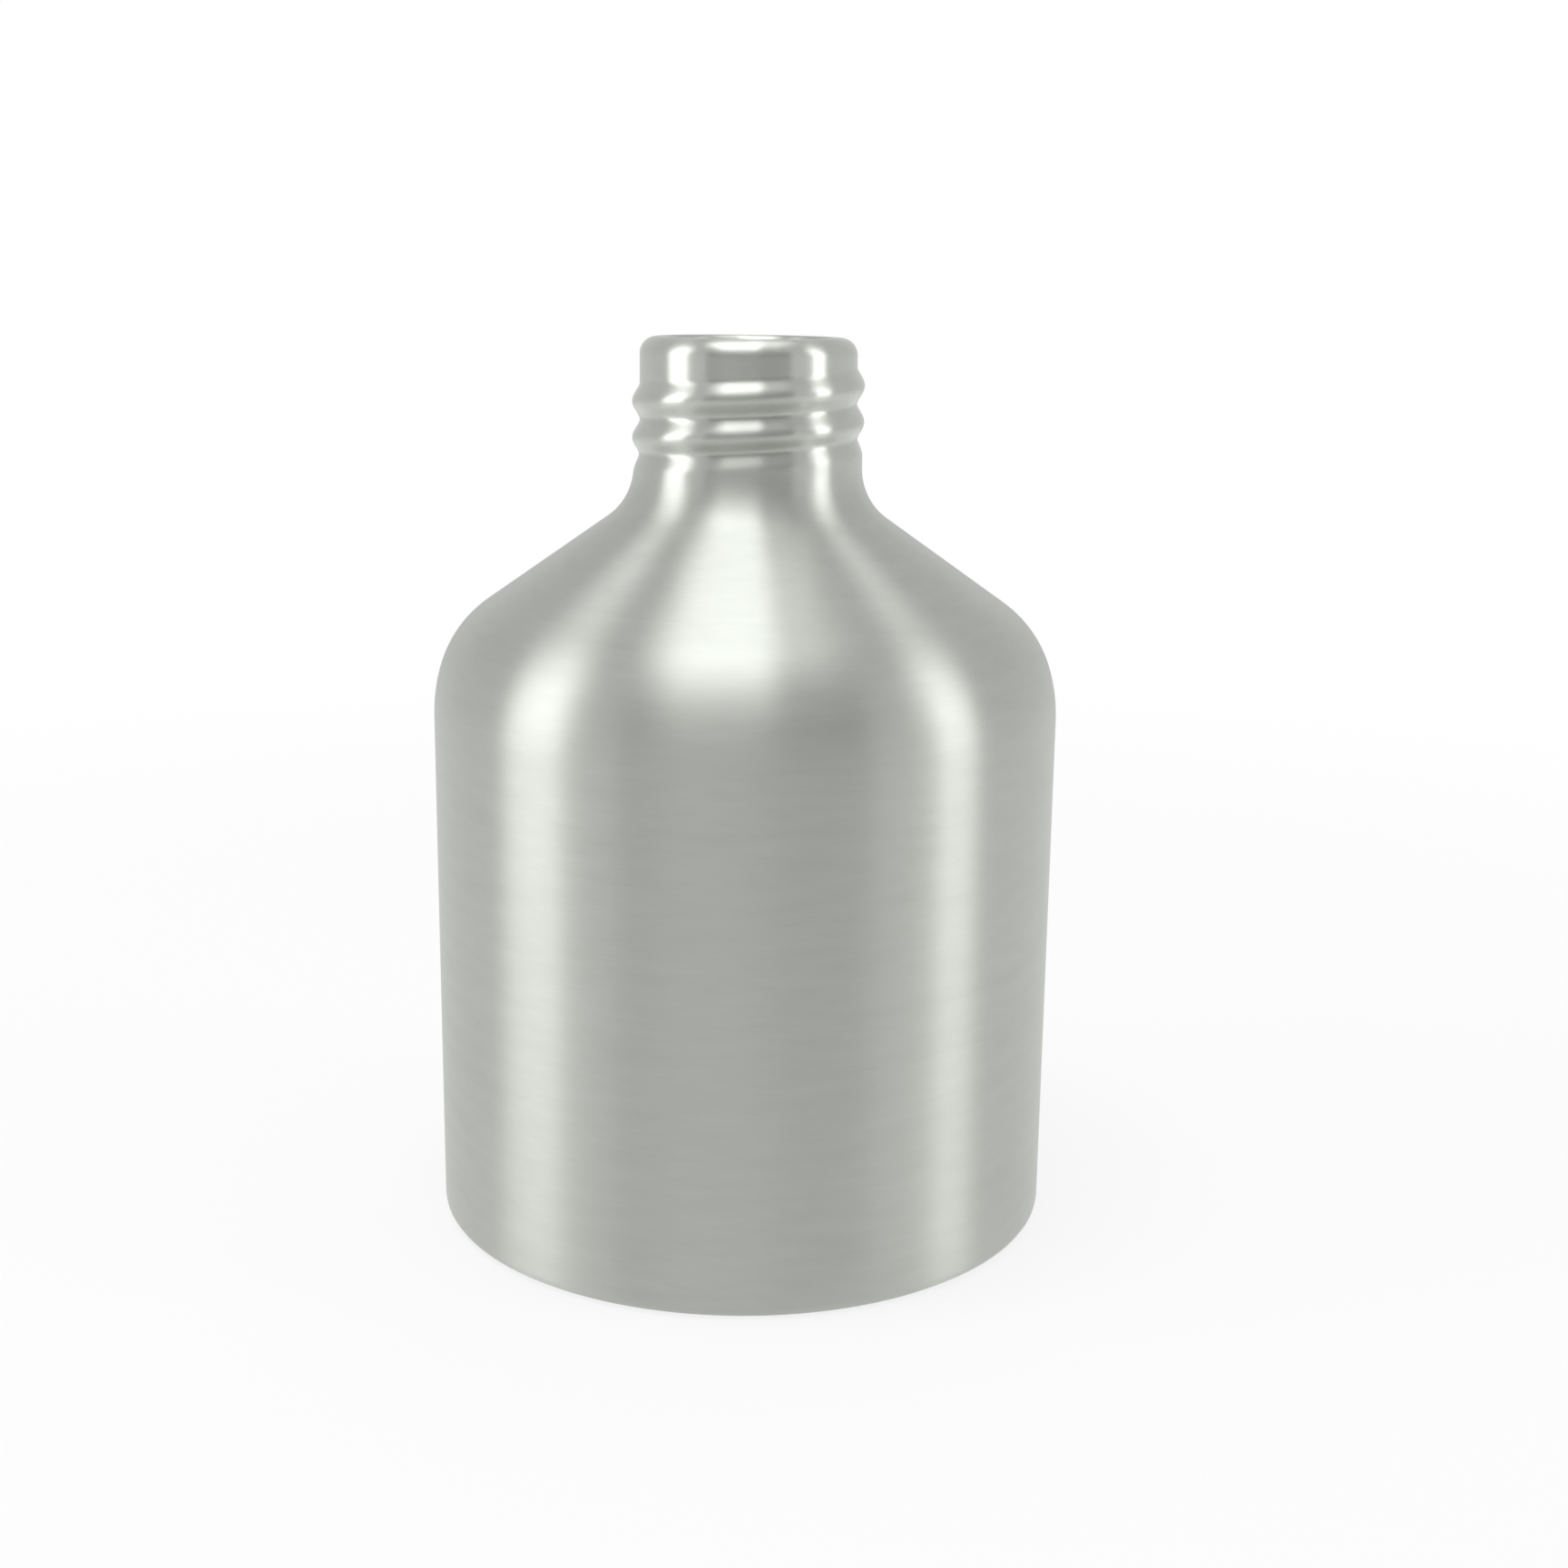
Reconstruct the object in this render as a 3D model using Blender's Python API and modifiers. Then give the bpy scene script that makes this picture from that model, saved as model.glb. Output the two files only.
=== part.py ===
"""An open aluminium bottle with a rolled screw neck, pressed in one piece from a single slug of metal.

Metres, +Z up. The origin is the centre of the foot, on the surface that the bottle stands on, and +Z is the
bottle's own axis. The wall is one outline turned round that axis: up the inside from the middle of the base,
over the rolled lip, and down the outside to the middle of the base again. The screw thread is then rolled
into the neck, so the inside of the neck follows the outside.
"""

from math import atan2, ceil, cos, hypot, pi, radians, sin, tan

import bpy

MM = 0.001
INCH = 25.4 * MM

# Overall sizes. A taller bottle gets a longer side, under the same shoulder and neck.
HEIGHT = 106.5 * MM
BODY_DIAMETER = 75.0 * MM
NECK_HEIGHT = 15.0 * MM

# The metal is thick in the pressed base, thin in the ironed side, and thicker again in the neck, where
# drawing it in gathers it.
BASE_THICKNESS = 1.0 * MM
SIDE_THICKNESS = 0.6 * MM
NECK_THICKNESS = 0.75 * MM

# Heel, and the flat ring inside it that the bottle stands on.
HEEL_RADIUS = 1.5 * MM
INNER_HEEL_RADIUS = 1.5 * MM
FOOT_WIDTH = 1.6 * MM

# Inside the foot the base is pushed up: a wall between two bends, then a shallow dome.
BASE_FIRST_BEND_RADIUS = 1.0 * MM
BASE_SECOND_BEND_RADIUS = 4.0 * MM
BASE_WALL_ANGLE = radians(40)
DOME_EDGE_ANGLE = radians(6)

# Shoulder: a wide arc, a tighter one, a cone, and a fillet into the neck.
LOWER_SHOULDER_RADIUS = 19.5 * MM
LOWER_SHOULDER_ANGLE = radians(18.5)
UPPER_SHOULDER_RADIUS = 13.7 * MM
CONE_ANGLE = radians(55)
NECK_FILLET_RADIUS = 7.5 * MM

# Lip, rolled inwards by two bends, with a flat land on top between them for a cap's liner.
LIP_FIRST_BEND_RADIUS = 1.25 * MM
LIP_SECOND_BEND_RADIUS = 0.15 * MM
LIP_LAND_WIDTH = 0.6 * MM
LIP_TAIL_LENGTH = 0.9 * MM

# Right-hand thread with one start. Its crests stand a little past the plain neck, and one ridge begins
# where the last one ends.
THREAD_DIAMETER = 27.4 * MM
THREAD_DEPTH = 0.9 * MM
THREAD_PAST_NECK = 0.15 * MM
THREADS_PER_INCH = 6
THREAD_TURNS = 1.5
RUNOUT_TURNS = 0.2
THREAD_START_DEPTH = 5.4 * MM
RIDGE_POWER = 1.6

# Below the last half turn, the metal steps back out to the plain neck.
STEP_BELOW_THREAD = 2.7 * MM
STEP_HEIGHT = 2.6 * MM

# How finely the wall is drawn.
TURNING_STEPS = 60
NECK_ROW_HEIGHT = 0.75 * MM
ARC_STEP = radians(10)
TIGHT_ARC_STEP = radians(30)
SHARP_ANGLE = radians(40)
MERGE_DISTANCE = 0.01 * MM

METAL_COLOUR = (0.54, 0.56, 0.52, 1.0)
METAL_ROUGHNESS = 0.32

# Values that other sizes follow.
QUARTER_TURN = 0.25
BODY_RADIUS = BODY_DIAMETER / 2
CREST_RADIUS = THREAD_DIAMETER / 2
ROOT_RADIUS = CREST_RADIUS - THREAD_DEPTH
NECK_RADIUS = CREST_RADIUS - THREAD_PAST_NECK
THREAD_PITCH = INCH / THREADS_PER_INCH


def on_circle(centre, radius, angle):
    """A point on a circle, with its angle turned from +X towards +Z."""
    return (centre[0] + radius * cos(angle), centre[1] + radius * sin(angle))


def arc(centre, radius, start, end, step=ARC_STEP):
    """Points along an arc, both ends included."""
    count = max(1, ceil(abs(end - start) / step))
    return [on_circle(centre, radius, start + (end - start) * i / count) for i in range(count + 1)]


def shoulder_centres():
    """Where the shoulder's two arcs and the neck's fillet are struck from, found down from the neck."""
    fillet = (NECK_RADIUS + NECK_FILLET_RADIUS, HEIGHT - NECK_HEIGHT)
    cone_top = on_circle(fillet, NECK_FILLET_RADIUS, pi + CONE_ANGLE)
    radius_difference = LOWER_SHOULDER_RADIUS - UPPER_SHOULDER_RADIUS
    upper_x = BODY_RADIUS - LOWER_SHOULDER_RADIUS + radius_difference * cos(LOWER_SHOULDER_ANGLE)
    cone_foot_x = upper_x + UPPER_SHOULDER_RADIUS * cos(CONE_ANGLE)
    cone_foot_z = cone_top[1] - (cone_foot_x - cone_top[0]) / tan(CONE_ANGLE)
    upper = (upper_x, cone_foot_z - UPPER_SHOULDER_RADIUS * sin(CONE_ANGLE))
    lower = on_circle(upper, -radius_difference, LOWER_SHOULDER_ANGLE)
    return lower, upper, fillet


def base_centres():
    """Where the bends and the dome of the base are struck from, found inwards from the foot."""
    first_radius = BASE_FIRST_BEND_RADIUS + BASE_THICKNESS
    first = (BODY_RADIUS - HEEL_RADIUS - FOOT_WIDTH, first_radius)
    wall_middle = on_circle(first, first_radius, -pi / 2 - BASE_WALL_ANGLE)
    second = on_circle(wall_middle, BASE_SECOND_BEND_RADIUS, -pi / 2 - BASE_WALL_ANGLE)
    dome_edge = on_circle(second, BASE_SECOND_BEND_RADIUS, pi / 2 - DOME_EDGE_ANGLE)
    dome_radius = dome_edge[0] / sin(DOME_EDGE_ANGLE)
    dome = (0, dome_edge[1] - dome_radius * cos(DOME_EDGE_ANGLE))
    return first, second, dome, dome_radius


def base_outline(height):
    """From the middle of the base out to the foot, on the underside or at a height through the metal."""
    first, second, dome, dome_radius = base_centres()
    wall_turn = pi / 2 - BASE_WALL_ANGLE
    dome_turn = pi / 2 - DOME_EDGE_ANGLE
    first_radius = BASE_FIRST_BEND_RADIUS + BASE_THICKNESS - height
    outline = arc(dome, dome_radius + height, pi / 2, dome_turn, DOME_EDGE_ANGLE / 2)
    outline += arc(second, BASE_SECOND_BEND_RADIUS + height, dome_turn, wall_turn, TIGHT_ARC_STEP)[1:]
    outline += arc(first, first_radius, wall_turn - pi, -pi / 2, TIGHT_ARC_STEP)[1:]
    return outline


def heel_outline(radius, wall_radius, floor):
    """Round the corner from the base to the side."""
    return arc((wall_radius - radius, floor + radius), radius, -pi / 2, 0, TIGHT_ARC_STEP)


def shoulder_outline(side_inset, neck_inset):
    """From the side to the foot of the neck, on the outside or set into the metal."""
    lower, upper, fillet = shoulder_centres()
    outline = arc(lower, LOWER_SHOULDER_RADIUS - side_inset, 0, LOWER_SHOULDER_ANGLE)
    outline += arc(upper, UPPER_SHOULDER_RADIUS - side_inset, LOWER_SHOULDER_ANGLE, CONE_ANGLE)[1:]
    outline += arc(fillet, NECK_FILLET_RADIUS + neck_inset, pi + CONE_ANGLE, pi)
    return outline


def neck_outline(radius):
    """Up the plain neck, in rows close enough together to carry the thread."""
    bottom = HEIGHT - NECK_HEIGHT
    height = NECK_HEIGHT - LIP_FIRST_BEND_RADIUS - NECK_THICKNESS
    count = max(1, ceil(height / NECK_ROW_HEIGHT))
    return [(radius, bottom + height * i / count) for i in range(1, count)]


def lip_outline():
    """Round the lip, from the inside of the neck, past the end of the rolled metal, to the outside."""
    first_radius = LIP_FIRST_BEND_RADIUS + NECK_THICKNESS
    second_radius = LIP_SECOND_BEND_RADIUS + NECK_THICKNESS
    first = (NECK_RADIUS - first_radius, HEIGHT - first_radius)
    second = (first[0] - LIP_LAND_WIDTH, HEIGHT - second_radius)
    tail_end = second[1] - LIP_TAIL_LENGTH
    outline = arc(first, LIP_FIRST_BEND_RADIUS, 0, pi / 2, TIGHT_ARC_STEP)
    outline += arc(second, LIP_SECOND_BEND_RADIUS, pi / 2, pi, pi / 2)
    outline += [(second[0] - LIP_SECOND_BEND_RADIUS, tail_end), (second[0] - second_radius, tail_end)]
    outline += arc(second, second_radius, pi, pi / 2, TIGHT_ARC_STEP)
    outline += arc(first, first_radius, pi / 2, 0, TIGHT_ARC_STEP)
    return outline


def wall_outline():
    """The whole wall as one line, up the inside, over the lip and down the outside."""
    inside = base_outline(BASE_THICKNESS)
    inside += heel_outline(INNER_HEEL_RADIUS, BODY_RADIUS - SIDE_THICKNESS, BASE_THICKNESS)
    inside += shoulder_outline(SIDE_THICKNESS, NECK_THICKNESS)
    inside += neck_outline(NECK_RADIUS - NECK_THICKNESS)
    outside = base_outline(0)
    outside += heel_outline(HEEL_RADIUS, BODY_RADIUS, 0)
    outside += shoulder_outline(0, 0)
    outside += neck_outline(NECK_RADIUS)
    return inside + lip_outline() + outside[::-1]


def smooth_step(share):
    share = min(1, max(0, share))
    return share * share * (3 - 2 * share)


def crest_height(turn):
    """Height of the thread's crest, some turns down from its start."""
    return HEIGHT - THREAD_START_DEPTH - THREAD_PITCH * turn


def step_share(angle, height):
    """How far the metal has stepped in from the plain neck, on a ring tipped like the thread above it."""
    middle = crest_height(THREAD_TURNS - QUARTER_TURN) - STEP_BELOW_THREAD
    tip = THREAD_PITCH * QUARTER_TURN * cos(angle)
    return smooth_step((height - middle - tip + STEP_HEIGHT / 2) / STEP_HEIGHT)


def ridge_share(turn, height):
    """How high the ridge stands at a turn of the thread and a height, out of the thread's full depth."""
    turns_off_crest = (height - crest_height(turn)) / THREAD_PITCH
    if abs(turns_off_crest) > 2 * QUARTER_TURN:
        return 0
    run_in = smooth_step(1 + turn / RUNOUT_TURNS)
    run_out = smooth_step(1 + (THREAD_TURNS - turn) / RUNOUT_TURNS)
    return run_in * run_out * cos(pi * turns_off_crest) ** RIDGE_POWER


def rolled_offset(angle, height):
    """How far rolling the thread moves the wall out, at an angle round the axis and a height."""
    first_turn = -angle / (2 * pi) % 1 - 1
    turns = [first_turn + i for i in range(ceil(THREAD_TURNS) + 2)]
    ridge = sum(ridge_share(turn, height) for turn in turns)
    return (ROOT_RADIUS - NECK_RADIUS) * step_share(angle, height) + THREAD_DEPTH * ridge


def turned_wall(collection):
    """The outline turned round the bottle's axis."""
    mesh = bpy.data.meshes.new("wall_outline")
    points = [(radius, 0, height) for radius, height in wall_outline()]
    mesh.from_pydata(points, [(i, i + 1) for i in range(len(points) - 1)], [])
    wall = bpy.data.objects.new("bottle_shell", mesh)
    collection.objects.link(wall)
    turning = wall.modifiers.new("turning", "SCREW")
    turning.steps = TURNING_STEPS
    turning.render_steps = TURNING_STEPS
    turning.use_merge_vertices = True
    turning.merge_threshold = MERGE_DISTANCE
    return wall


def apply_modifiers(piece):
    outline_mesh = piece.data
    evaluated = piece.evaluated_get(bpy.context.evaluated_depsgraph_get())
    piece.data = bpy.data.meshes.new_from_object(evaluated)
    piece.data.name = piece.name
    piece.modifiers.clear()
    bpy.data.meshes.remove(outline_mesh)


def roll_thread(piece):
    """Moves the wall of the neck in or out along its radius, inside and outside alike."""
    for vertex in piece.data.vertices:
        x, y, height = vertex.co
        radius = hypot(x, y)
        if radius > MERGE_DISTANCE:
            stretch = 1 + rolled_offset(atan2(y, x), height) / radius
            vertex.co = (x * stretch, y * stretch, height)


def bare_aluminium():
    material = bpy.data.materials.new("bare_aluminium")
    material.use_nodes = True
    material.diffuse_color = METAL_COLOUR
    shader = material.node_tree.nodes["Principled BSDF"]
    shader.inputs["Base Color"].default_value = METAL_COLOUR
    shader.inputs["Metallic"].default_value = 1
    shader.inputs["Roughness"].default_value = METAL_ROUGHNESS
    return material


def main():
    for old in list(bpy.data.objects):
        bpy.data.objects.remove(old)
    bottle = bpy.data.collections.new("aluminium_bottle")
    bpy.context.scene.collection.children.link(bottle)
    shell = turned_wall(bottle)
    apply_modifiers(shell)
    roll_thread(shell)
    shell.data.shade_smooth()
    shell.data.set_sharp_from_angle(angle=SHARP_ANGLE)
    shell.data.materials.append(bare_aluminium())


main()
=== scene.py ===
"""An open aluminium bottle with a rolled screw neck, in a plain bright studio.

Metres, +Z up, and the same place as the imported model: the foot's centre is the origin, the axis is +Z, and
the camera looks along +Y. The wall is one outline turned round the axis, with the thread rolled into its
neck. The studio is a tent of dim white cards, with brighter softboxes at its sides and overhead.
"""

from math import ceil, cos, hypot, pi, radians, sin, tan

import bpy
from mathutils import Matrix, Vector


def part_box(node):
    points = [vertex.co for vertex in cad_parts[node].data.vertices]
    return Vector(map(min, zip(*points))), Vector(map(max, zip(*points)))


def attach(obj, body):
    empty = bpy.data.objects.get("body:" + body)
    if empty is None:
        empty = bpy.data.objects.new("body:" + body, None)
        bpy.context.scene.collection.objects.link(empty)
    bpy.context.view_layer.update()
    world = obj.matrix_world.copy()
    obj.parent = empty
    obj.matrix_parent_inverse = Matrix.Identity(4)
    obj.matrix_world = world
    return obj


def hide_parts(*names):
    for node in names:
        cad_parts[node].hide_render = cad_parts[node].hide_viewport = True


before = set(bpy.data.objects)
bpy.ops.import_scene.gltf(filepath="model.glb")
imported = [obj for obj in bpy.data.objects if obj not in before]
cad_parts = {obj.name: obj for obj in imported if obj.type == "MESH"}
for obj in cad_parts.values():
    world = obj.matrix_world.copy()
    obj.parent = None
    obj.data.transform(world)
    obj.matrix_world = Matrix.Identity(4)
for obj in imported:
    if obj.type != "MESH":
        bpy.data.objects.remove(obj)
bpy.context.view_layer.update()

MM = 0.001
INCH = 25.4 * MM
FULL_TURN = 2 * pi
QUARTER_TURN = 0.25

# Overall sizes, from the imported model.
solid_low, solid_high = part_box("bottle_shell")
HEIGHT = solid_high.z
BODY_RADIUS = solid_high.x
NECK_HEIGHT = 15.0 * MM

# Thickness of the metal.
BASE_THICKNESS = 1.0 * MM
SIDE_THICKNESS = 0.6 * MM
NECK_THICKNESS = 0.75 * MM

# Heel, foot and base.
HEEL_RADIUS = 1.5 * MM
INNER_HEEL_RADIUS = 1.5 * MM
FOOT_WIDTH = 1.6 * MM
BASE_FIRST_BEND_RADIUS = 1.0 * MM
BASE_SECOND_BEND_RADIUS = 4.0 * MM
BASE_WALL_ANGLE = radians(40)
DOME_EDGE_ANGLE = radians(6)

# Shoulder: a wide arc, a tighter one, a cone, and a fillet into the neck.
LOWER_SHOULDER_RADIUS = 19.5 * MM
LOWER_SHOULDER_ANGLE = radians(18.5)
UPPER_SHOULDER_RADIUS = 13.7 * MM
CONE_ANGLE = radians(55)
NECK_FILLET_RADIUS = 7.5 * MM

# Lip, rolled inwards by two bends with a flat land between them.
LIP_FIRST_BEND_RADIUS = 1.25 * MM
LIP_SECOND_BEND_RADIUS = 0.15 * MM
LIP_LAND_WIDTH = 0.6 * MM
LIP_TAIL_LENGTH = 0.9 * MM

# Right-hand thread with one start, and the step below it out to the plain neck.
CREST_RADIUS = 27.4 * MM / 2
THREAD_DEPTH = 0.9 * MM
THREAD_PAST_NECK = 0.15 * MM
THREAD_PITCH = INCH / 6
THREAD_TURNS = 1.5
RUNOUT_TURNS = 0.2
THREAD_START_DEPTH = 5.4 * MM
RIDGE_POWER = 1.6
STEP_BELOW_THREAD = 2.7 * MM
STEP_HEIGHT = 2.6 * MM
NECK_RADIUS = CREST_RADIUS - THREAD_PAST_NECK
STEP_DEPTH = THREAD_DEPTH - THREAD_PAST_NECK

# How finely the wall is drawn.
STEPS_ROUND = 288
OUTSIDE_ROW = 0.2 * MM
INSIDE_ROW = 0.4 * MM
ARC_ROW = 0.6 * MM
DOME_ROW = 2.0 * MM
SIDE_ROW = 4.0 * MM
FEWEST_ROWS = 2
SHARP_ANGLE = radians(50)
MERGE_DISTANCE = 0.01 * MM

# The photograph's view.
PHOTO_WIDTH = 1728
CAMERA_PLACE = Vector((0, -258.1, 112.8)) * MM
CAMERA_TURN = radians(1.056)
CAMERA_DIP = radians(13.099)
CAMERA_ROLL = radians(0.713)
FOCAL_PIXELS = 2377
SENSOR_WIDTH = 36
CAMERA_NEAR = 10 * MM

# The outside's finish: hairlines, soft bands between them, and the polish that rolling leaves on the neck.
METAL_DARK = (0.51, 0.53, 0.49, 1.0)
METAL_PALE = (0.57, 0.59, 0.55, 1.0)
METAL_ANISOTROPY = 0.97
BRUSHED_ROUGHNESS = (0.38, 0.42)
NECK_POLISH = 0.25
POLISH_FADE = 4.0 * MM
HAIRLINES_PER_METRE = 9000.0
HAIRLINE_WAVES = 9.0
HAIRLINE_DEPTH = 0.004 * MM
HAIRLINE_RELIEF = 0.5
HAIRLINE_SHARE = 0.5
BANDS_PER_METRE = 600.0
BAND_WAVES = 4.0
LINE_DETAIL = 3.0
LINE_RAGGEDNESS = 0.65
NOISE_LOW = 0.3
NOISE_HIGH = 0.7

# The inside's finish.
INSIDE_DARK = (0.42, 0.42, 0.37, 1.0)
INSIDE_PALE = (0.48, 0.48, 0.43, 1.0)
INSIDE_ROUGHNESS = (0.38, 0.46)
DRAWN_LINES_PER_METRE = 1500.0
DRAWN_WAVES = 3.0

# The studio's floor, which the camera sees turn to white between two distances from the bottle.
WHITE = (1.0, 1.0, 1.0, 1.0)
FLOOR_WIDTH = 6.0
FLOOR_COLOUR = (0.8, 0.8, 0.8, 1.0)
FLOOR_GLOW = 0.8
FLOOR_NEAR = 0.08
FLOOR_FAR = 0.4

# The tent, and the softboxes inside it: across is along X, and along is along Y, with the front at -Y.
TENT_WIDTH = 1.0
TENT_HEIGHT = 0.55
CARD_GAP = 0.01
SOFTBOX_EDGE = 0.25
TOP_EDGE = 0.12
LEFT_SOFTBOX_ALONG = (-0.25, 0.05)
RIGHT_SOFTBOX_ALONG = (-0.2, 0.0)
TOP_SOFTBOX_ACROSS = (-0.22, 0.08)
TOP_SOFTBOX_ALONG = (-0.35, 0.1)
TOP_FILL_ACROSS = (0.0, 0.18)
TOP_FILL_ALONG = (-0.2, 0.3)
SIDE_STRENGTH = 2.8
TOP_STRENGTH = 4.2
FILL_STRENGTH = 2.0
TENT_STRENGTH = 0.75
FRONT_STRENGTH = 0.3


def on_circle(centre, radius, angle):
    """A point on a circle, with its angle turned from +X towards +Z."""
    return (centre[0] + radius * cos(angle), centre[1] + radius * sin(angle))


def arc(centre, radius, start, end, row=ARC_ROW):
    """Points along an arc, both ends included, no further apart than a row."""
    count = max(FEWEST_ROWS, ceil(abs(end - start) * radius / row))
    return [on_circle(centre, radius, start + (end - start) * i / count) for i in range(count + 1)]


def straight(start, end, row):
    """Points along a straight stretch, without its two ends."""
    count = max(FEWEST_ROWS, ceil(hypot(end[0] - start[0], end[1] - start[1]) / row))
    shares = [i / count for i in range(1, count)]
    return [(start[0] + (end[0] - start[0]) * s, start[1] + (end[1] - start[1]) * s) for s in shares]


def shoulder_centres():
    """Where the shoulder's two arcs and the neck's fillet are struck from, found down from the neck."""
    fillet = (NECK_RADIUS + NECK_FILLET_RADIUS, HEIGHT - NECK_HEIGHT)
    cone_top = on_circle(fillet, NECK_FILLET_RADIUS, pi + CONE_ANGLE)
    radius_difference = LOWER_SHOULDER_RADIUS - UPPER_SHOULDER_RADIUS
    upper_x = BODY_RADIUS - LOWER_SHOULDER_RADIUS + radius_difference * cos(LOWER_SHOULDER_ANGLE)
    cone_foot_x = upper_x + UPPER_SHOULDER_RADIUS * cos(CONE_ANGLE)
    cone_foot_z = cone_top[1] - (cone_foot_x - cone_top[0]) / tan(CONE_ANGLE)
    upper = (upper_x, cone_foot_z - UPPER_SHOULDER_RADIUS * sin(CONE_ANGLE))
    lower = on_circle(upper, -radius_difference, LOWER_SHOULDER_ANGLE)
    return lower, upper, fillet


def base_centres():
    """Where the bends and the dome of the base are struck from, found inwards from the foot."""
    first_radius = BASE_FIRST_BEND_RADIUS + BASE_THICKNESS
    first = (BODY_RADIUS - HEEL_RADIUS - FOOT_WIDTH, first_radius)
    wall_middle = on_circle(first, first_radius, -pi / 2 - BASE_WALL_ANGLE)
    second = on_circle(wall_middle, BASE_SECOND_BEND_RADIUS, -pi / 2 - BASE_WALL_ANGLE)
    dome_edge = on_circle(second, BASE_SECOND_BEND_RADIUS, pi / 2 - DOME_EDGE_ANGLE)
    dome_radius = dome_edge[0] / sin(DOME_EDGE_ANGLE)
    dome = (0, dome_edge[1] - dome_radius * cos(DOME_EDGE_ANGLE))
    return first, second, dome, dome_radius


def base_outline(height):
    """From the middle of the base out to the foot, on the underside or at a height through the metal."""
    first, second, dome, dome_radius = base_centres()
    wall_turn = pi / 2 - BASE_WALL_ANGLE
    dome_turn = pi / 2 - DOME_EDGE_ANGLE
    first_radius = BASE_FIRST_BEND_RADIUS + BASE_THICKNESS - height
    outline = arc(dome, dome_radius + height, pi / 2, dome_turn, DOME_ROW)
    outline += arc(second, BASE_SECOND_BEND_RADIUS + height, dome_turn, wall_turn)[1:]
    outline += arc(first, first_radius, wall_turn - pi, -pi / 2)[1:]
    return outline


def side_outline(heel_radius, wall_radius, floor, top):
    """Round the heel from the base and up the side."""
    heel = arc((wall_radius - heel_radius, floor + heel_radius), heel_radius, -pi / 2, 0)
    return heel + straight(heel[-1], (wall_radius, top), SIDE_ROW)


def shoulder_outline(side_inset, neck_inset):
    """From the side to the foot of the neck, on the outside or set into the metal."""
    lower, upper, fillet = shoulder_centres()
    shoulder = arc(lower, LOWER_SHOULDER_RADIUS - side_inset, 0, LOWER_SHOULDER_ANGLE)
    shoulder += arc(upper, UPPER_SHOULDER_RADIUS - side_inset, LOWER_SHOULDER_ANGLE, CONE_ANGLE)[1:]
    fillet_outline = arc(fillet, NECK_FILLET_RADIUS + neck_inset, pi + CONE_ANGLE, pi)
    return shoulder + straight(shoulder[-1], fillet_outline[0], DOME_ROW) + fillet_outline


def neck_outline(radius, row):
    """Up the neck, in rows close enough together to carry the thread."""
    top = HEIGHT - LIP_FIRST_BEND_RADIUS - NECK_THICKNESS
    return straight((radius, HEIGHT - NECK_HEIGHT), (radius, top), row)


def lip_outline():
    """Round the lip, from the inside of the neck, past the end of the rolled metal, to the outside."""
    first_radius = LIP_FIRST_BEND_RADIUS + NECK_THICKNESS
    second_radius = LIP_SECOND_BEND_RADIUS + NECK_THICKNESS
    first = (NECK_RADIUS - first_radius, HEIGHT - first_radius)
    second = (first[0] - LIP_LAND_WIDTH, HEIGHT - second_radius)
    tail_end = second[1] - LIP_TAIL_LENGTH
    outline = arc(first, LIP_FIRST_BEND_RADIUS, 0, pi / 2, OUTSIDE_ROW)
    outline += arc(second, LIP_SECOND_BEND_RADIUS, pi / 2, pi, OUTSIDE_ROW)
    outline += [(second[0] - LIP_SECOND_BEND_RADIUS, tail_end), (second[0] - second_radius, tail_end)]
    outline += arc(second, second_radius, pi, pi / 2, OUTSIDE_ROW)
    outline += arc(first, first_radius, pi / 2, 0, OUTSIDE_ROW)
    return outline


def wall_outline():
    """One line up the inside, over the lip and down the outside, and how many points lie inside."""
    shoulder_foot = shoulder_centres()[0][1]
    inner_radius = BODY_RADIUS - SIDE_THICKNESS
    inside = base_outline(BASE_THICKNESS)
    inside += side_outline(INNER_HEEL_RADIUS, inner_radius, BASE_THICKNESS, shoulder_foot)
    inside += shoulder_outline(SIDE_THICKNESS, NECK_THICKNESS)
    inside += neck_outline(NECK_RADIUS - NECK_THICKNESS, INSIDE_ROW)
    outside = base_outline(0)
    outside += side_outline(HEEL_RADIUS, BODY_RADIUS, 0, shoulder_foot)
    outside += shoulder_outline(0, 0)
    outside += neck_outline(NECK_RADIUS, OUTSIDE_ROW)
    return inside + lip_outline() + outside[::-1], len(inside)


def outline_object():
    """The outline as a row of points, each with its length along the wall."""
    outline, inside_count = wall_outline()
    mesh = bpy.data.meshes.new("wall_outline")
    edges = [(i, i + 1) for i in range(len(outline) - 1)]
    mesh.from_pydata([(radius, 0, height) for radius, height in outline], edges, [])
    along = mesh.attributes.new("along_wall", "FLOAT", "POINT")
    length = 0
    for i, (radius, height) in enumerate(outline):
        if i > 0:
            length += hypot(radius - outline[i - 1][0], height - outline[i - 1][1])
        along.data[i].value = length
    shell = bpy.data.objects.new("brushed_shell", mesh)
    bpy.context.scene.collection.objects.link(shell)
    return shell, inside_count


def node(tree, kind, wired=(), **settings):
    """Adds a node, sets it up, and wires or sets its inputs by name or number."""
    made = tree.nodes.new(kind)
    for setting, value in settings.items():
        setattr(made, setting, value)
    for socket, value in dict(wired).items():
        if isinstance(value, bpy.types.NodeSocket):
            tree.links.new(value, made.inputs[socket])
        else:
            made.inputs[socket].default_value = value
    return made


def maths(tree, operation, first, second=0.0):
    """One step of arithmetic in a tree, on numbers or sockets."""
    return node(tree, "ShaderNodeMath", {0: first, 1: second}, operation=operation).outputs[0]


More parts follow.
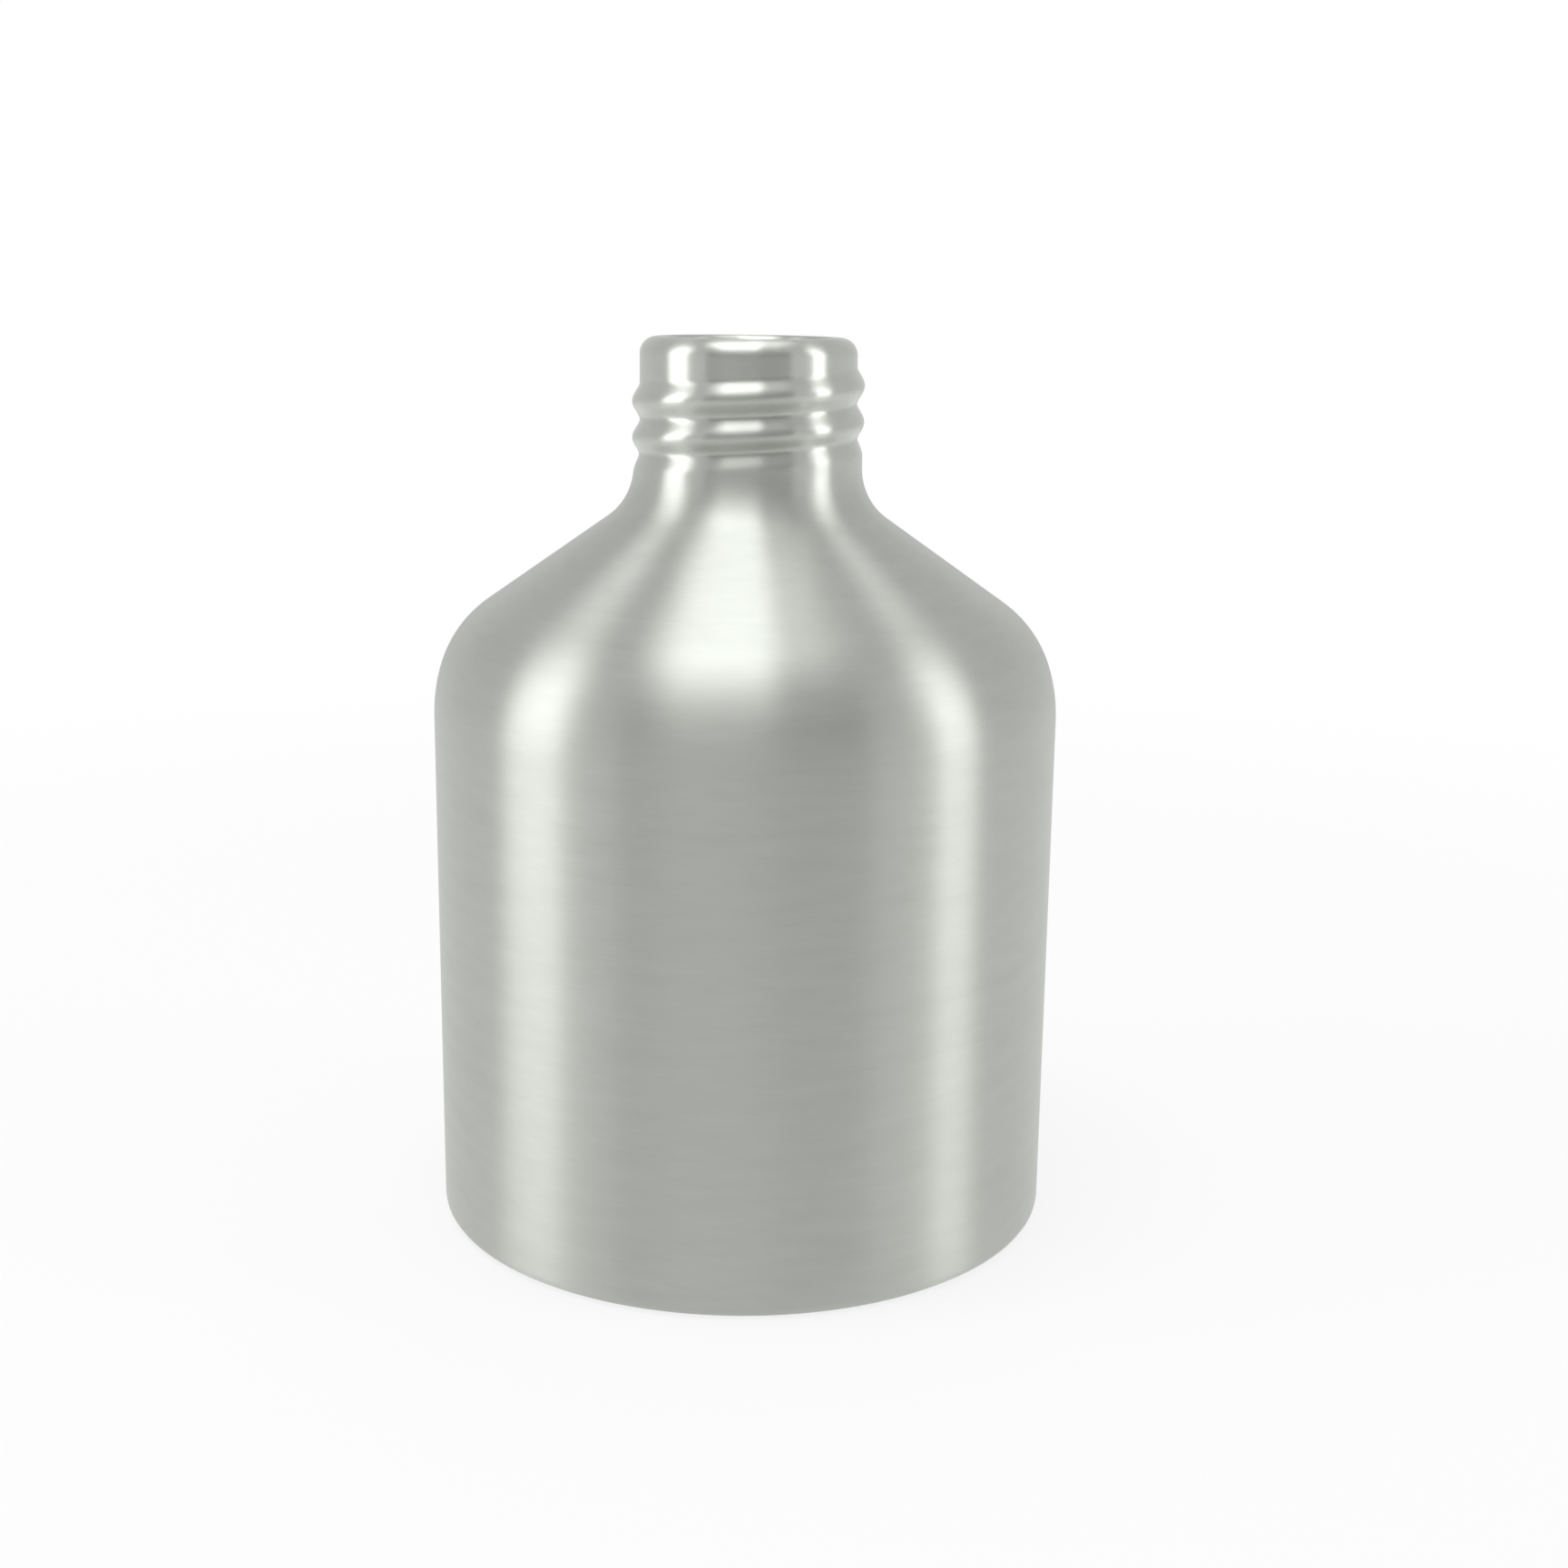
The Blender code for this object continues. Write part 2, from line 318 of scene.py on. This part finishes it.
def smooth_rise(tree, value, start, end):
    """0 before the start and 1 past the end, with a smooth rise between them."""
    wired = {"Value": value, "From Min": start, "From Max": end}
    rise = node(tree, "ShaderNodeMapRange", wired, interpolation_type="SMOOTHSTEP")
    return rise.outputs["Result"]


TURNING_INPUTS = {
    "Steps Round": ("NodeSocketInt", STEPS_ROUND),
    "Inside Rows": ("NodeSocketInt", 0),
    "Thread Depth": ("NodeSocketFloat", THREAD_DEPTH),
    "Thread Pitch": ("NodeSocketFloat", THREAD_PITCH),
    "Thread Turns": ("NodeSocketFloat", THREAD_TURNS),
    "Run-out Turns": ("NodeSocketFloat", RUNOUT_TURNS),
    "Ridge Power": ("NodeSocketFloat", RIDGE_POWER),
    "First Crest": ("NodeSocketFloat", HEIGHT - THREAD_START_DEPTH),
    "Step Depth": ("NodeSocketFloat", STEP_DEPTH),
    "Step Below Thread": ("NodeSocketFloat", STEP_BELOW_THREAD),
    "Step Height": ("NodeSocketFloat", STEP_HEIGHT),
    "Outside Finish": ("NodeSocketMaterial", None),
    "Inside Finish": ("NodeSocketMaterial", None),
}


def ridge(tree, sizes, share_round, height):
    """How high the thread's ridge stands, out of its full depth. A turn is counted down from its start."""
    below_start = maths(tree, "SUBTRACT", sizes["First Crest"], height)
    turns_down = maths(tree, "DIVIDE", below_start, sizes["Thread Pitch"])
    whole_turns = maths(tree, "ROUND", maths(tree, "ADD", turns_down, share_round))
    turn = maths(tree, "SUBTRACT", whole_turns, share_round)
    off_crest = maths(tree, "SUBTRACT", turn, turns_down)
    hump = maths(tree, "COSINE", maths(tree, "MULTIPLY", off_crest, pi))
    hump = maths(tree, "POWER", maths(tree, "MAXIMUM", hump, 0.0), sizes["Ridge Power"])
    before_start = maths(tree, "MULTIPLY", sizes["Run-out Turns"], -1.0)
    past_end = maths(tree, "ADD", sizes["Thread Turns"], sizes["Run-out Turns"])
    run_in = smooth_rise(tree, turn, before_start, 0.0)
    run_out = smooth_rise(tree, turn, past_end, sizes["Thread Turns"])
    return maths(tree, "MULTIPLY", hump, maths(tree, "MULTIPLY", run_in, run_out))


def step_in(tree, sizes, angle, height):
    """How far the metal has stepped in from the plain neck, on a ring tipped like the thread above it."""
    pitch = sizes["Thread Pitch"]
    last_turn = maths(tree, "SUBTRACT", sizes["Thread Turns"], QUARTER_TURN)
    thread_height = maths(tree, "MULTIPLY", pitch, last_turn)
    last_crest = maths(tree, "SUBTRACT", sizes["First Crest"], thread_height)
    middle = maths(tree, "SUBTRACT", last_crest, sizes["Step Below Thread"])
    tip_turn = maths(tree, "MULTIPLY", maths(tree, "COSINE", angle), QUARTER_TURN)
    tip = maths(tree, "MULTIPLY", pitch, tip_turn)
    half = maths(tree, "DIVIDE", sizes["Step Height"], 2.0)
    low = maths(tree, "SUBTRACT", middle, half)
    high = maths(tree, "ADD", middle, half)
    return smooth_rise(tree, maths(tree, "SUBTRACT", height, tip), low, high)


def turning_tree():
    """Turns an outline round the axis, rolls the thread into it, and closes the seam and the poles."""
    tree = bpy.data.node_groups.new("turned_and_threaded_wall", "GeometryNodeTree")
    tree.interface.new_socket("Outline", in_out="INPUT", socket_type="NodeSocketGeometry")
    for name, (kind, value) in TURNING_INPUTS.items():
        socket = tree.interface.new_socket(name, in_out="INPUT", socket_type=kind)
        if value is not None:
            socket.default_value = value
    tree.interface.new_socket("Wall", in_out="OUTPUT", socket_type="NodeSocketGeometry")
    sizes = tree.nodes.new("NodeGroupInput").outputs
    outline = sizes["Outline"]
    rows = node(tree, "GeometryNodeAttributeDomainSize", {"Geometry": outline}).outputs["Point Count"]
    wired = {0: sizes["Steps Round"], 1: 1}
    columns = node(tree, "FunctionNodeIntegerMath", wired, operation="ADD").outputs[0]
    grid = node(tree, "GeometryNodeMeshGrid", {"Vertices X": columns, "Vertices Y": rows})
    index = node(tree, "GeometryNodeInputIndex").outputs[0]
    column = node(tree, "FunctionNodeIntegerMath", {0: index, 1: rows}, operation="DIVIDE_FLOOR").outputs[0]
    column = node(tree, "GeometryNodeFieldOnDomain", {0: column}, data_type="INT", domain="POINT").outputs[0]
    row = node(tree, "FunctionNodeIntegerMath", {0: index, 1: rows}, operation="FLOORED_MODULO").outputs[0]
    row = node(tree, "GeometryNodeFieldOnDomain", {0: row}, data_type="INT", domain="POINT").outputs[0]

    place = node(tree, "GeometryNodeInputPosition").outputs[0]
    wired = {"Geometry": outline, "Value": place, "Index": row}
    on_outline = node(tree, "GeometryNodeSampleIndex", wired, data_type="FLOAT_VECTOR").outputs["Value"]
    parts = node(tree, "ShaderNodeSeparateXYZ", {0: on_outline}).outputs
    wired = {"Name": "along_wall"}
    along = node(tree, "GeometryNodeInputNamedAttribute", wired, data_type="FLOAT").outputs[0]
    wired = {"Geometry": outline, "Value": along, "Index": row}
    along = node(tree, "GeometryNodeSampleIndex", wired, data_type="FLOAT").outputs["Value"]

    share_round = maths(tree, "DIVIDE", column, sizes["Steps Round"])
    angle = maths(tree, "MULTIPLY", share_round, FULL_TURN)
    ridge_share = ridge(tree, sizes, share_round, parts["Z"])
    ridge_height = maths(tree, "MULTIPLY", ridge_share, sizes["Thread Depth"])
    step_depth = maths(tree, "MULTIPLY", step_in(tree, sizes, angle, parts["Z"]), sizes["Step Depth"])
    offset = maths(tree, "SUBTRACT", ridge_height, step_depth)
    radius = maths(tree, "ADD", parts["X"], offset)
    x = maths(tree, "MULTIPLY", radius, maths(tree, "COSINE", angle))
    y = maths(tree, "MULTIPLY", radius, maths(tree, "SINE", angle))
    turned = node(tree, "ShaderNodeCombineXYZ", {0: x, 1: y, 2: parts["Z"]}).outputs[0]

    uv = node(tree, "ShaderNodeCombineXYZ", {0: share_round, 1: along}).outputs[0]
    wired = {"Geometry": grid.outputs["Mesh"], "Name": "UVMap", "Value": uv}
    mapped = node(tree, "GeometryNodeStoreNamedAttribute", wired, data_type="FLOAT2", domain="CORNER")
    wired = {2: row, 3: sizes["Inside Rows"]}
    inside = node(tree, "FunctionNodeCompare", wired, data_type="INT", operation="LESS_THAN").outputs[0]
    wired = {"Geometry": mapped.outputs[0], "Material": sizes["Outside Finish"]}
    finished = node(tree, "GeometryNodeSetMaterial", wired).outputs[0]
    wired = {"Geometry": finished, "Selection": inside, "Material": sizes["Inside Finish"]}
    finished = node(tree, "GeometryNodeSetMaterial", wired).outputs[0]
    moved = node(tree, "GeometryNodeSetPosition", {"Geometry": finished, "Position": turned})
    outwards = node(tree, "GeometryNodeFlipFaces", {"Mesh": moved.outputs[0]})
    wired = {"Geometry": outwards.outputs[0], "Distance": MERGE_DISTANCE}
    closed = node(tree, "GeometryNodeMergeByDistance", wired)
    smooth = node(tree, "GeometryNodeSetShadeSmooth", {"Geometry": closed.outputs[0], "Shade Smooth": True})
    edge_angle = node(tree, "GeometryNodeInputMeshEdgeAngle").outputs["Unsigned Angle"]
    sharp = maths(tree, "GREATER_THAN", edge_angle, SHARP_ANGLE)
    wired = {"Geometry": smooth.outputs[0], "Selection": sharp, "Shade Smooth": False}
    creased = node(tree, "GeometryNodeSetShadeSmooth", wired, domain="EDGE")
    real = node(tree, "GeometryNodeRealizeInstances", {0: creased.outputs[0]})
    node(tree, "NodeGroupOutput", {0: real.outputs[0]})
    return tree


def set_inputs(modifier, values):
    """Sets a tree's inputs through their identifiers."""
    for item in modifier.node_group.interface.items_tree:
        if item.name in values and item.in_out == "INPUT":
            modifier[item.identifier] = values[item.name]


def apply_modifiers(piece):
    """Turns a piece with its modifiers into a plain mesh."""
    evaluated = piece.evaluated_get(bpy.context.evaluated_depsgraph_get())
    piece.data = bpy.data.meshes.new_from_object(evaluated)
    piece.data.name = piece.name
    piece.data.materials.pop(index=0)
    piece.modifiers.clear()


def wavy_lines(tree, waves_round, lines_per_metre):
    """A pattern of lines that run round the wall: long round the axis and narrow along the wall."""
    place = node(tree, "ShaderNodeTexCoord").outputs["Object"]
    wired = {0: place, 1: (1.0, 1.0, 0.0)}
    flat = node(tree, "ShaderNodeVectorMath", wired, operation="MULTIPLY").outputs[0]
    outwards = node(tree, "ShaderNodeVectorMath", {0: flat}, operation="NORMALIZE").outputs[0]
    outwards = node(tree, "ShaderNodeSeparateXYZ", {0: outwards}).outputs
    uv = node(tree, "ShaderNodeUVMap", uv_map="UVMap").outputs[0]
    along = node(tree, "ShaderNodeSeparateXYZ", {0: uv}).outputs["Y"]
    x = maths(tree, "MULTIPLY", outwards["X"], waves_round)
    y = maths(tree, "MULTIPLY", outwards["Y"], waves_round)
    z = maths(tree, "MULTIPLY", along, lines_per_metre)
    stretched = node(tree, "ShaderNodeCombineXYZ", {0: x, 1: y, 2: z}).outputs[0]
    wired = {"Vector": stretched, "Scale": 1.0, "Detail": LINE_DETAIL, "Roughness": LINE_RAGGEDNESS}
    return node(tree, "ShaderNodeTexNoise", wired).outputs["Fac"]


def spread(tree, value, low, high):
    """Stretches a noise's middle to run from a low to a high value."""
    wired = {"Value": value, "From Min": NOISE_LOW, "From Max": NOISE_HIGH, "To Min": low, "To Max": high}
    return node(tree, "ShaderNodeMapRange", wired).outputs["Result"]


def between(tree, share, first, second):
    """A colour between two, by a share from 0 to 1."""
    return node(tree, "ShaderNodeMix", {0: share, 6: first, 7: second}, data_type="RGBA").outputs[2]


def neck_polish(tree):
    """What rolling leaves of the roughness: all of it on the body, and a little less on the neck."""
    place = node(tree, "ShaderNodeTexCoord").outputs["Object"]
    height = node(tree, "ShaderNodeSeparateXYZ", {0: place}).outputs["Z"]
    neck_foot = HEIGHT - NECK_HEIGHT
    on_neck = smooth_rise(tree, height, neck_foot - POLISH_FADE, neck_foot + POLISH_FADE)
    return maths(tree, "SUBTRACT", 1.0, maths(tree, "MULTIPLY", on_neck, NECK_POLISH))


def brushed_aluminium():
    """Bare metal, satin, with hairlines that run round it and stretch its highlights along the axis."""
    material = bpy.data.materials.new("brushed_aluminium")
    material.use_nodes = True
    tree = material.node_tree
    shader = tree.nodes["Principled BSDF"]
    hairlines = wavy_lines(tree, HAIRLINE_WAVES, HAIRLINES_PER_METRE)
    bands = wavy_lines(tree, BAND_WAVES, BANDS_PER_METRE)
    hairline_part = maths(tree, "MULTIPLY", hairlines, HAIRLINE_SHARE)
    band_part = maths(tree, "MULTIPLY", bands, 1.0 - HAIRLINE_SHARE)
    lines = maths(tree, "ADD", hairline_part, band_part)
    colour = between(tree, spread(tree, lines, 0.0, 1.0), METAL_DARK, METAL_PALE)
    tree.links.new(colour, shader.inputs["Base Color"])
    roughness = maths(tree, "MULTIPLY", spread(tree, hairlines, *BRUSHED_ROUGHNESS), neck_polish(tree))
    tree.links.new(roughness, shader.inputs["Roughness"])
    wired = {"Height": hairlines, "Distance": HAIRLINE_DEPTH, "Strength": HAIRLINE_RELIEF}
    bump = node(tree, "ShaderNodeBump", wired)
    tree.links.new(bump.outputs["Normal"], shader.inputs["Normal"])
    tangent = node(tree, "ShaderNodeTangent", direction_type="UV_MAP", uv_map="UVMap")
    tree.links.new(tangent.outputs[0], shader.inputs["Tangent"])
    shader.inputs["Metallic"].default_value = 1
    shader.inputs["Anisotropic"].default_value = METAL_ANISOTROPY
    shader.inputs["Anisotropic Rotation"].default_value = QUARTER_TURN
    return material


def lacquered_inside():
    """The inside, drawn and not brushed, under a thin clear lacquer that warms it."""
    material = bpy.data.materials.new("lacquered_inside")
    material.use_nodes = True
    tree = material.node_tree
    shader = tree.nodes["Principled BSDF"]
    marks = wavy_lines(tree, DRAWN_WAVES, DRAWN_LINES_PER_METRE)
    colour = between(tree, spread(tree, marks, 0.0, 1.0), INSIDE_DARK, INSIDE_PALE)
    tree.links.new(colour, shader.inputs["Base Color"])
    tree.links.new(spread(tree, marks, *INSIDE_ROUGHNESS), shader.inputs["Roughness"])
    shader.inputs["Metallic"].default_value = 1
    return material


def bottle():
    """The whole bottle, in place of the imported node."""
    shell, inside_count = outline_object()
    turning = shell.modifiers.new("turning", "NODES")
    turning.node_group = turning_tree()
    set_inputs(turning, {
        "Inside Rows": inside_count,
        "Outside Finish": brushed_aluminium(),
        "Inside Finish": lacquered_inside(),
    })
    apply_modifiers(shell)
    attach(shell, "root")
    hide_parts("bottle_shell")
    return shell


def photo_camera():
    """The photograph's own view: a little above the neck, looking down at the body."""
    data = bpy.data.cameras.new("photo_camera")
    data.sensor_width = SENSOR_WIDTH
    data.sensor_fit = "HORIZONTAL"
    data.lens = FOCAL_PIXELS / PHOTO_WIDTH * SENSOR_WIDTH
    data.clip_start = CAMERA_NEAR
    camera = bpy.data.objects.new("photo_camera", data)
    bpy.context.scene.collection.objects.link(camera)
    turn = Matrix.Rotation(-CAMERA_TURN, 4, "Z")
    dip = Matrix.Rotation(pi / 2 - CAMERA_DIP, 4, "X")
    roll = Matrix.Rotation(CAMERA_ROLL, 4, "Z")
    camera.matrix_world = Matrix.Translation(CAMERA_PLACE) @ turn @ dip @ roll
    bpy.context.scene.camera = camera


def seen_directly(tree):
    """1 for what the camera sees, straight or in metal and glass, and 0 for light that falls on things."""
    path = node(tree, "ShaderNodeLightPath").outputs
    seen = maths(tree, "MAXIMUM", path["Is Camera Ray"], path["Is Glossy Ray"])
    return maths(tree, "MAXIMUM", seen, path["Is Transmission Ray"])


def floor_paint():
    """Matt white that keeps the bottle's shadow and runs into the white behind it."""
    material = bpy.data.materials.new("floor_paint")
    material.use_nodes = True
    tree = material.node_tree
    tree.nodes.clear()
    matt = node(tree, "ShaderNodeBsdfDiffuse", {"Color": FLOOR_COLOUR})
    white = node(tree, "ShaderNodeEmission", {"Color": WHITE, "Strength": 1.0})
    place = node(tree, "ShaderNodeTexCoord").outputs["Object"]
    distance = node(tree, "ShaderNodeVectorMath", {0: place}, operation="LENGTH").outputs["Value"]
    wired = {"Value": distance, "From Min": FLOOR_NEAR, "From Max": FLOOR_FAR, "To Min": FLOOR_GLOW}
    glow = node(tree, "ShaderNodeMapRange", wired, interpolation_type="SMOOTHSTEP").outputs["Result"]
    share = maths(tree, "MULTIPLY", seen_directly(tree), glow)
    both = node(tree, "ShaderNodeMixShader", {0: share, 1: matt.outputs[0], 2: white.outputs[0]})
    node(tree, "ShaderNodeOutputMaterial", {0: both.outputs[0]})
    return material


def soft_edges(tree, across, soft):
    """1 over a card's middle, falling smoothly to 0 over a share of its width at both edges."""
    return [smooth_rise(tree, across, 0.0, soft), smooth_rise(tree, across, 1.0, 1.0 - soft)]


def card_light(name, strength, soft_sides, soft_ends):
    """A card's even white light, which may fade out towards its sides and its ends."""
    material = bpy.data.materials.new(name)
    material.use_nodes = True
    tree = material.node_tree
    tree.nodes.clear()
    uv = node(tree, "ShaderNodeUVMap", uv_map="UVMap").outputs[0]
    uv = node(tree, "ShaderNodeSeparateXYZ", {0: uv}).outputs
    edges = []
    if soft_sides > 0:
        edges += soft_edges(tree, uv["X"], soft_sides)
    if soft_ends > 0:
        edges += soft_edges(tree, uv["Y"], soft_ends)
    light = node(tree, "ShaderNodeEmission", {"Color": WHITE, "Strength": strength}).outputs[0]
    for edge in edges:
        clear = node(tree, "ShaderNodeBsdfTransparent").outputs[0]
        light = node(tree, "ShaderNodeMixShader", {0: edge, 1: clear, 2: light}).outputs[0]
    node(tree, "ShaderNodeOutputMaterial", {0: light})
    return material


def card(name, corners, material):
    """A flat card of the studio, its corners given round it from the first side to the second."""
    mesh = bpy.data.meshes.new(name)
    mesh.from_pydata(corners, [], [(0, 1, 2, 3)])
    uv = mesh.uv_layers.new(name="UVMap")
    for corner, place in zip(uv.data, ((0, 0), (1, 0), (1, 1), (0, 1))):
        corner.uv = place
    mesh.materials.append(material)
    made = bpy.data.objects.new(name, mesh)
    bpy.context.scene.collection.objects.link(made)
    return made


def light_card(name, corners, strength, soft_sides=0, soft_ends=0):
    """A card that lights the bottle and shows in its metal, out of the camera's sight."""
    made = card(name, corners, card_light(name, strength, soft_sides, soft_ends))
    made.visible_camera = False


def side_card(name, x, along, strength, **soft):
    """An upright card on one side of the bottle, between two places along Y."""
    corners = [(x, along[0], 0), (x, along[1], 0), (x, along[1], TENT_HEIGHT), (x, along[0], TENT_HEIGHT)]
    light_card(name, corners, strength, **soft)


def end_card(name, y, strength):
    """A card across the front or the back."""
    half = TENT_WIDTH / 2
    corners = [(-half, y, 0), (half, y, 0), (half, y, TENT_HEIGHT), (-half, y, TENT_HEIGHT)]
    light_card(name, corners, strength)


def top_card(name, height, across, along, strength, **soft):
    """A level card over the bottle, between two places along X and two along Y."""
    corners = [(across[0], along[0], height), (across[1], along[0], height)]
    corners += [(across[1], along[1], height), (across[0], along[1], height)]
    light_card(name, corners, strength, **soft)


def lights():
    """A softbox on each side, two over the bottle, and a tent of dimmer cards round it all."""
    wall = TENT_WIDTH / 2
    near = wall - CARD_GAP
    low = TENT_HEIGHT - CARD_GAP
    whole = (-wall, wall)
    soft = {"soft_sides": TOP_EDGE, "soft_ends": SOFTBOX_EDGE}
    fill_height = low + CARD_GAP / 2
    side_card("left_softbox", -near, LEFT_SOFTBOX_ALONG, SIDE_STRENGTH, soft_sides=SOFTBOX_EDGE)
    side_card("right_softbox", near, RIGHT_SOFTBOX_ALONG, SIDE_STRENGTH, soft_sides=SOFTBOX_EDGE)
    top_card("top_softbox", low, TOP_SOFTBOX_ACROSS, TOP_SOFTBOX_ALONG, TOP_STRENGTH, **soft)
    top_card("top_fill", fill_height, TOP_FILL_ACROSS, TOP_FILL_ALONG, FILL_STRENGTH, **soft)
    side_card("left_wall", -wall, whole, TENT_STRENGTH)
    side_card("right_wall", wall, whole, TENT_STRENGTH)
    end_card("back_wall", wall, TENT_STRENGTH)
    top_card("ceiling", TENT_HEIGHT, whole, whole, TENT_STRENGTH)
    end_card("front_card", -wall, FRONT_STRENGTH)


def white_world():
    """White wherever the camera looks past the floor, and an even light on all that is outside the tent."""
    world = bpy.data.worlds.new("white_world")
    world.use_nodes = True
    tree = world.node_tree
    tree.nodes.clear()
    background = node(tree, "ShaderNodeBackground", {"Color": WHITE, "Strength": 1.0})
    node(tree, "ShaderNodeOutputWorld", {0: background.outputs[0]})
    bpy.context.scene.world = world


def studio():
    """The floor, the cards and the world, and the plain view transform."""
    half = FLOOR_WIDTH / 2
    card("floor", [(-half, -half, 0), (half, -half, 0), (half, half, 0), (-half, half, 0)], floor_paint())
    lights()
    white_world()
    bpy.context.scene.view_settings.view_transform = "Standard"


photo_camera()
bottle()
studio()
